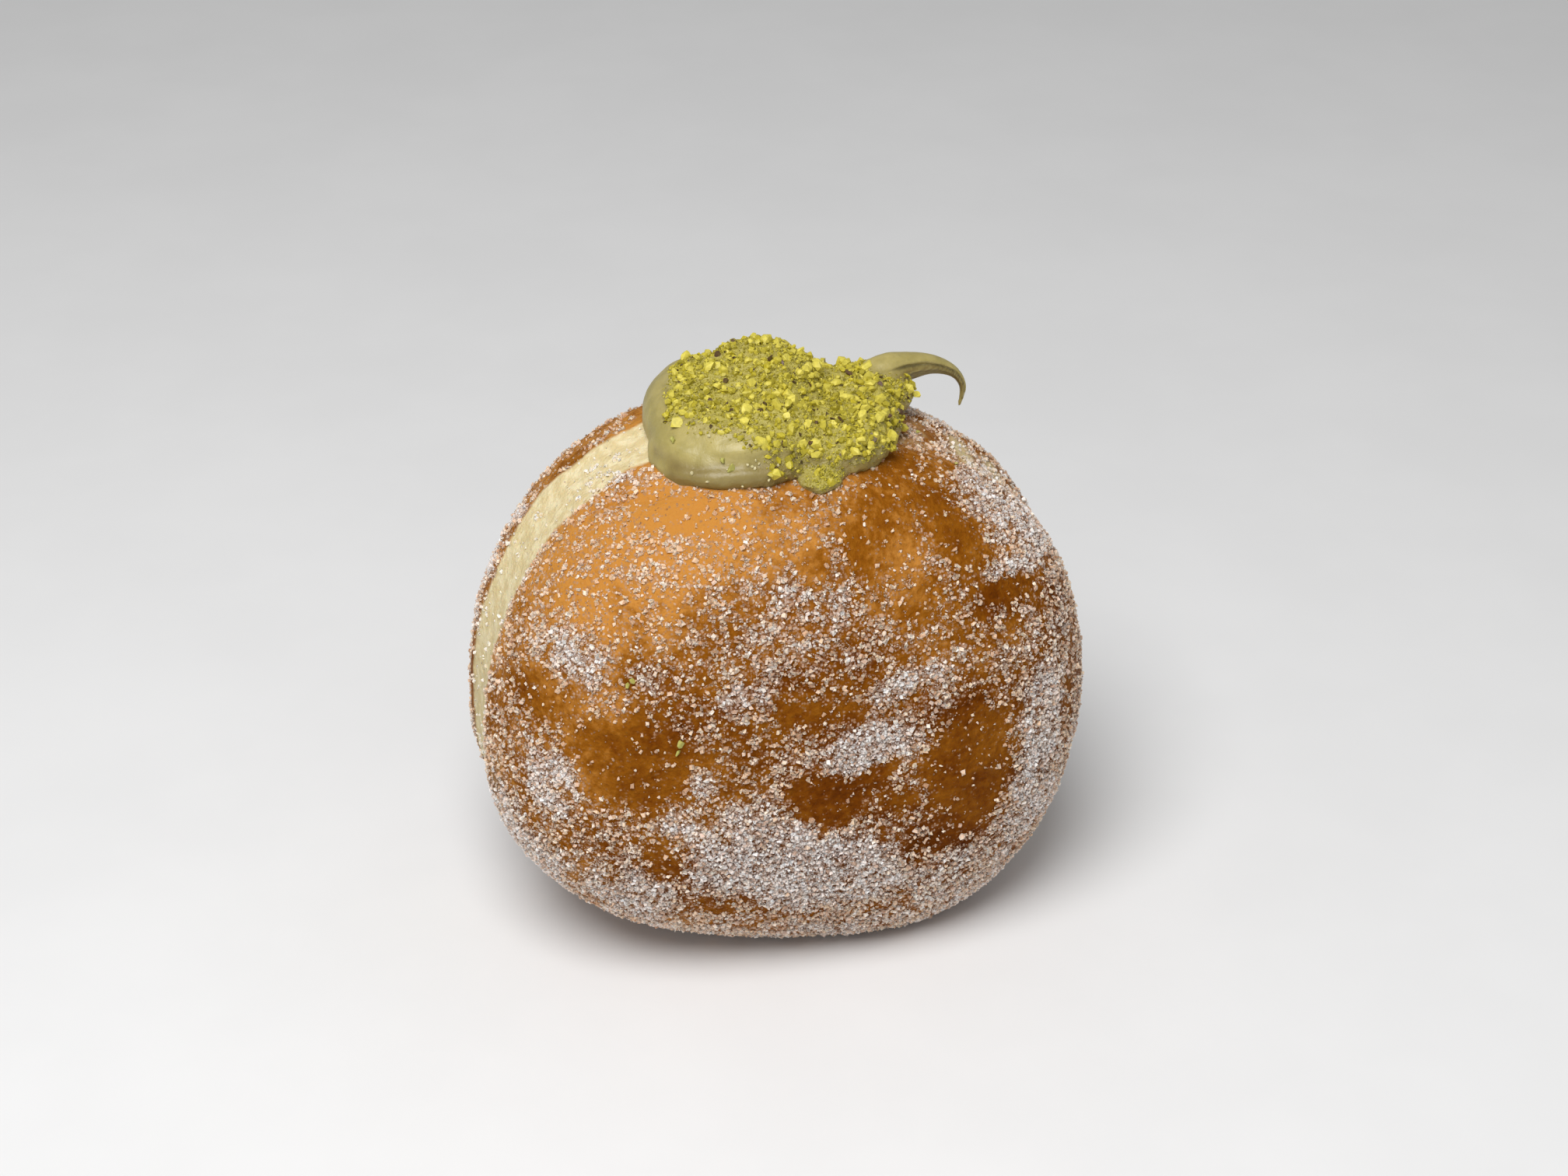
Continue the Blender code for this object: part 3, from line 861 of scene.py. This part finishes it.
def sow(piece, weight, count, value):
    """Random places on a piece's skin, by area and weight, their normals and the value there."""
    points, normals, triangles = points_of(piece), normals_of(piece), triangles_of(piece)
    chance = weighed_areas(points, triangles, weight)
    chosen = triangles[draw.choice(len(triangles), count, p=chance / chance.sum())]
    first, second = np.sort(draw.random((2, count)), axis=0)
    shares = np.stack([first, second - first, 1.0 - second], axis=1)
    places = (points[chosen] * shares[:, :, None]).sum(axis=1)
    facing = (normals[chosen] * shares[:, :, None]).sum(axis=1)
    facing /= np.linalg.norm(facing, axis=1)[:, None]
    return places, facing, (value[chosen] * shares).sum(axis=1)


def random_turns(count):
    """Rotation matrices spread evenly over every direction."""
    a, b, c, d = (draw.normal(size=(4, count)) + 1e-9)
    length = np.sqrt(a * a + b * b + c * c + d * d)
    a, b, c, d = a / length, b / length, c / length, d / length
    rows = [
        [1 - 2 * (c * c + d * d), 2 * (b * c - a * d), 2 * (b * d + a * c)],
        [2 * (b * c + a * d), 1 - 2 * (b * b + d * d), 2 * (c * d - a * b)],
        [2 * (b * d - a * c), 2 * (c * d + a * b), 1 - 2 * (b * b + c * c)],
    ]
    return np.array(rows).transpose(2, 0, 1)


def form_of(bm):
    """A small shape as arrays: its points and its triangles."""
    bmesh.ops.triangulate(bm, faces=bm.faces)
    bm.verts.ensure_lookup_table()
    points = np.array([vert.co[:] for vert in bm.verts])
    faces = np.array([[vert.index for vert in face.verts] for face in bm.faces])
    bm.free()
    return points, faces


def scattered(name, forms, places, sizes, stretch, tints, finish):
    """One mesh of many small pieces, each a turned and stretched copy of one of the forms."""
    turns = random_turns(len(places))
    which = draw.integers(0, len(forms), len(places))
    all_points, all_faces, all_tints = [], [], []
    start = 0
    for number, (points, faces) in enumerate(forms):
        mine = np.flatnonzero(which == number)
        local = points[None] * stretch[mine][:, None, :] * sizes[mine][:, None, None]
        turned = np.einsum("nij,npj->npi", turns[mine], local) + places[mine][:, None, :]
        all_points.append(turned.reshape(-1, 3))
        offsets = start + np.arange(len(mine)) * len(points)
        all_faces.append((faces[None] + offsets[:, None, None]).reshape(-1, 3))
        all_tints.append(np.repeat(tints[mine], len(points), axis=0))
        start += len(mine) * len(points)
    points = (np.concatenate(all_points) + MIDDLE) * MM
    faces = np.concatenate(all_faces)
    mesh = bpy.data.meshes.new(name)
    mesh.vertices.add(len(points))
    mesh.vertices.foreach_set("co", points.astype(np.float32).ravel())
    mesh.loops.add(len(faces) * 3)
    mesh.loops.foreach_set("vertex_index", faces.astype(np.int32).ravel())
    mesh.polygons.add(len(faces))
    mesh.polygons.foreach_set("loop_start", np.arange(0, len(faces) * 3, 3, dtype=np.int32))
    mesh.update(calc_edges=True)
    mesh.shade_flat()
    piece = new_piece(name, mesh)
    set_tint(piece, np.concatenate(all_tints))
    mesh.materials.append(finish)
    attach(piece, "root")


def rough_cube():
    """A sugar crystal: a cube of size 1 with its corners knocked about."""
    bm = bmesh.new()
    bmesh.ops.create_cube(bm, size=1.0)
    for vert in bm.verts:
        vert.co += Vector(draw.uniform(-0.27, 0.27, 3))
    return form_of(bm)


def rough_speck():
    """A broken crystal with six faces."""
    bm = bmesh.new()
    bmesh.ops.create_cone(bm, segments=3, radius1=0.55, radius2=0.0, depth=0.55,
                          matrix=Matrix.Translation((0.0, 0.0, 0.275)))
    floor = min(bm.faces, key=lambda face: face.calc_center_median().z)
    point = bmesh.ops.poke(bm, faces=[floor])["verts"][0]
    point.co.z -= 0.5
    for vert in bm.verts:
        vert.co *= draw.uniform(0.75, 1.25)
    return form_of(bm)


def nut_shard(cuts):
    """A chip of nut: a rough ball with flat breaks."""
    bm = bmesh.new()
    bmesh.ops.create_icosphere(bm, subdivisions=1, radius=0.62)
    for vert in bm.verts:
        vert.co *= draw.uniform(0.8, 1.1)
    for _ in range(cuts):
        way = Vector(draw.normal(size=3)).normalized()
        cut = bmesh.ops.bisect_plane(
            bm,
            geom=bm.verts[:] + bm.edges[:] + bm.faces[:],
            plane_co=way * draw.uniform(0.2, 0.42),
            plane_no=way,
            clear_outer=True,
        )
        rim = [item for item in cut["geom_cut"] if isinstance(item, bmesh.types.BMEdge)]
        bmesh.ops.contextual_create(bm, geom=rim)
    return form_of(bm)


def sugar_finish():
    material, shader, _ = new_finish("sugar")
    set_surface(material, shader, attribute(material, "tint", "Color"), 0.3)
    let_light_in(shader, 0.8, (1.0, 0.8, 0.7), 0.5)
    return material


def sugar_tints(thick, band, fried, clearest):
    """Warm over thinly sugared crust, whiter where thick; clear grains let the crust show."""
    count = len(thick)
    over_band = ramp(band, 0.3, 0.7)[:, None]
    fried = np.clip(fried, 0.0, 1.0)[:, None]
    crust = UNDER_GRAIN_DARK * (1.0 - fried) + UNDER_GRAIN_GOLDEN * fried
    crust = crust * (1.0 - over_band) + UNDER_GRAIN_BAND * over_band
    warm = WARM_SUGAR * (1.0 - over_band) + WHITE_SUGAR * over_band
    share = np.clip(thick + draw.normal(0.0, 0.25, count), 0.0, 1.0)[:, None]
    clear = clearest * draw.random((count, 1)) ** (0.7 + 0.9 * share)
    solid = warm * (1.0 - share) + WHITE_SUGAR * share
    return solid * (1.0 - clear) + crust * clear


def in_clumps(places, share, least):
    """Which grains stay: those in the clumps, and nearly all where the sugar lies thick."""
    clump = 1.1 * cloud(places, 0.8, 51.0, 2) + 0.4 * cloud(places, 2.5, 52.0, 1)
    return clump > least - 0.82 * share


def sow_sugar_on_side(crust, sugar, weight, kind, side, forms, finish):
    """One kind of sugar on one side of the crust, half sunk and clear of the floor."""
    looks = SUGAR_KINDS[kind]
    small, large = looks["sizes"]
    count = int(weighed_areas(points_of(crust), triangles_of(crust), weight).sum() * looks["per_mm2"])
    places, facing, share = sow(crust, weight, count, sugar)
    kept = np.flatnonzero(in_clumps(places, share, looks["least"]))[:looks["most"][side]]
    places, facing, share = places[kept], facing[kept], share[kept]
    count = len(kept)
    sizes = small + (large - small) * draw.random(count) ** 1.6
    stretch = draw.uniform(0.55, 1.3, (count, 3))
    places = places + facing * (sizes * draw.uniform(0.05, 0.36, count))[:, None]
    places[:, 2] = np.maximum(places[:, 2], -MIDDLE_HEIGHT + 0.75 * sizes)
    band = band_share(places, cloud(places, 9.0, 3.0))
    thick = np.clip(share * 1.5 - 0.6, 0.0, 1.0)
    tints = sugar_tints(thick, band, frying_share(places), looks["clearest"])
    scattered(f"sugar_{kind}_{side}", forms, places, sizes, stretch, tints, finish)


def sow_sugar(crust, sugar):
    """Both kinds of sugar on the front, the rim and the back, where the crust clears the floor."""
    points = points_of(crust)
    clear_of_floor = ramp(points[:, 2], -MIDDLE_HEIGHT + 0.4, -MIDDLE_HEIGHT + 1.2)
    finish = sugar_finish()
    inner, outer = SIDE_EDGE - 0.1, SIDE_EDGE + 0.1
    sides = {
        "front": ramp(points[:, 1], -inner, -outer),
        "rim": ramp(np.abs(points[:, 1]), outer, inner),
        "back": ramp(points[:, 1], inner, outer),
    }
    forms = {
        "grains": [rough_cube() for _ in range(12)],
        "dust": [rough_speck() for _ in range(8)],
    }
    for kind in SUGAR_KINDS:
        for side, here in sides.items():
            weight = np.sqrt(np.clip(sugar, 0.0, 1.0)) * here * clear_of_floor
            sow_sugar_on_side(crust, sugar, weight, kind, side, forms[kind], finish)


def nut_finish(name, roughness):
    material, shader, place = new_finish(name)
    tint = attribute(material, "tint", "Color")
    grain = between(material, speckle(material, place, 0.5), 0.35, 0.7, 0.0, 0.35)
    colour = mixed(material, grain, tint, NUT_GRAIN_COLOUR)
    set_surface(material, shader, colour, roughness)
    let_light_in(shader, 0.1, (1.0, 1.0, 0.3), 0.5)
    return material


def keep_apart(places, sizes, share):
    """Which of the places stay, so that no two pieces overlap by much. The first ones win."""
    tree = KDTree(len(places))
    for index, place in enumerate(places):
        tree.insert(place, index)
    tree.balance()
    kept = np.ones(len(places), bool)
    for index, place in enumerate(places):
        if kept[index]:
            for _, other, away in tree.find_range(place, sizes[index] * share):
                if other > index and away < share * (sizes[index] + sizes[other]) / 2.0:
                    kept[other] = False
    return kept


def nut_weight(points, normals, crust_surface):
    """How thick the nuts lie on each point of the cream: on top, clear of the crust, in drifts."""
    on_top = nut_field(points) * ramp(normals[:, 2], -0.25, 0.25)
    near = [(away, height) for _, _, away, height in nearest_on(crust_surface, points)]
    away, height = np.array(near).T
    weight = on_top * ramp(away, 0.5, 1.2) * (height >= 0.2)
    return weight * (0.45 + 0.9 * ramp(cloud(points, 3.0, 41.0), -0.3, 0.35))


def sow_nut_kind(name, cream, weight, forms, finish, surfaces):
    """One kind of nut piece on the cream, larger ones lighter, with its strays."""
    count, (small, large), apart, dark, light, sunk = NUT_KINDS[name]
    places, facing, _ = sow(cream, weight, count, weight)
    sizes = np.sort(small + (large - small) * draw.random(count) ** 2.2)[::-1]
    if apart:
        kept = keep_apart(places, sizes, apart)
        places, facing, sizes = places[kept], facing[kept], sizes[kept]
    count = len(places)
    places = places + facing * (sizes * draw.uniform(-sunk, 0.26, count))[:, None]
    large_share = (sizes - small) / (large - small)
    share = np.clip(0.75 * draw.random(count) + 0.5 * large_share, 0.0, 1.0)[:, None]
    tints = np.array(dark) * (1.0 - share) + np.array(light) * share
    stretch = draw.uniform(0.45, 1.1, (count, 3))
    if name == "nuts_skins":
        stretch[:, 2] *= SKIN_FLATNESS
    if name in STRAYS:
        spots, size, tint = STRAYS[name]
        spots = laid_on(spots, surfaces)
        places = np.concatenate([places, spots])
        sizes = np.concatenate([sizes, size * draw.uniform(0.75, 1.25, len(spots))])
        stretch = np.concatenate([stretch, draw.uniform(0.35, 1.0, (len(spots), 3))])
        tints = np.concatenate([tints, np.tile(tint, (len(spots), 1))])
    scattered(name, forms, places, sizes, stretch, tints, finish)


def sow_nuts(cream, crust_surface):
    """All four kinds of nut piece, with crumbs rather than chips on the nib."""
    surfaces = (crust_surface, surface_tree(cream))
    points = points_of(cream)
    weight = nut_weight(points, normals_of(cream), crust_surface)
    on_nib = np.linalg.norm(points - np.array(NIB), axis=1) < NIB_REACH
    shards = [nut_shard(cuts) for cuts in (2, 3, 3, 4, 4, 5, 5, 6, 3, 4)]
    specks = [rough_speck() for _ in range(6)]
    matte = nut_finish("chopped pistachio", 0.55)
    skin = nut_finish("pistachio skin", 0.5)
    few_on_nib = weight * (1.0 - 0.85 * on_nib)
    sow_nut_kind("nuts_light", cream, few_on_nib, shards, matte, surfaces)
    sow_nut_kind("nuts_green", cream, few_on_nib, shards, matte, surfaces)
    sow_nut_kind("nuts_skins", cream, few_on_nib, shards, skin, surfaces)
    sow_nut_kind("nuts_crumbs", cream, weight * (1.0 + 1.5 * on_nib), specks, matte, surfaces)


def laid_on(spots, surfaces):
    """The place on the nearest of the surfaces to each spot, a little above it."""
    found = []
    for spot in spots:
        hits = [surface.find_nearest(Vector(spot)) for surface in surfaces]
        place, normal, _, _ = min(hits, key=lambda hit: hit[3])
        found.append(place + normal * 0.15)
    return np.array(found)


def surface_tree(piece):
    """The piece's skin, in millimetres about the middle, for finding the nearest point."""
    return BVHTree.FromPolygons(points_of(piece).tolist(), triangles_of(piece).tolist())


def make_floor():
    bm = bmesh.new()
    bmesh.ops.create_grid(bm, x_segments=1, y_segments=1, size=3.0)
    floor = from_bmesh("floor", bm)
    material, shader, place = new_finish("pale floor")
    grain = between(material, speckle(material, place, 40.0), 0.3, 0.7)
    colour = mixed(material, grain, *FLOOR_COLOURS)
    set_surface(material, shader, colour, 0.7)
    floor.data.materials.append(material)


def make_light(name, place, aim, size, watts):
    """A round soft lamp that points at its aim."""
    lamp = bpy.data.lights.new(name, "AREA")
    lamp.shape = "DISK"
    lamp.size = size
    lamp.energy = watts
    holder = bpy.data.objects.new(name, lamp)
    bpy.context.scene.collection.objects.link(holder)
    holder.location = place
    holder.rotation_euler = (Vector(aim) - Vector(place)).to_track_quat("-Z", "Y").to_euler()


def make_studio():
    scene = bpy.context.scene
    scene.view_settings.view_transform = "Standard"
    world = bpy.data.worlds.new("studio")
    world.use_nodes = True
    backdrop = world.node_tree.nodes["Background"]
    backdrop.inputs["Color"].default_value = (1.0, 1.0, 1.0, 1.0)
    backdrop.inputs["Strength"].default_value = SURROUNDING_LIGHT
    scene.world = world
    for light in LIGHTS:
        make_light(*light)


def make_camera():
    turn, height = math.radians(CAMERA_TURN), math.radians(CAMERA_HEIGHT)
    back = Vector((math.sin(turn) * math.cos(height), -math.cos(turn) * math.cos(height), math.sin(height)))
    right = Vector((math.cos(turn), math.sin(turn), 0.0))
    up = back.cross(right)
    aim = right * CAMERA_AIM_RIGHT + up * CAMERA_AIM_UP
    lens = bpy.data.cameras.new("camera")
    lens.lens = CAMERA_LENS
    lens.sensor_width = CAMERA_SENSOR
    lens.clip_start = 0.01
    camera = bpy.data.objects.new("camera", lens)
    bpy.context.scene.collection.objects.link(camera)
    camera.matrix_world = Matrix((right, up, back)).transposed().to_4x4()
    camera.location = seated(aim + back * CAMERA_DISTANCE)
    bpy.context.scene.camera = camera


make_camera()
make_studio()
make_floor()
crust, sugar = make_crust()
crust_surface = surface_tree(crust)
cream = make_cream(crust_surface)
sow_nuts(cream, crust_surface)
sow_sugar(crust, sugar)
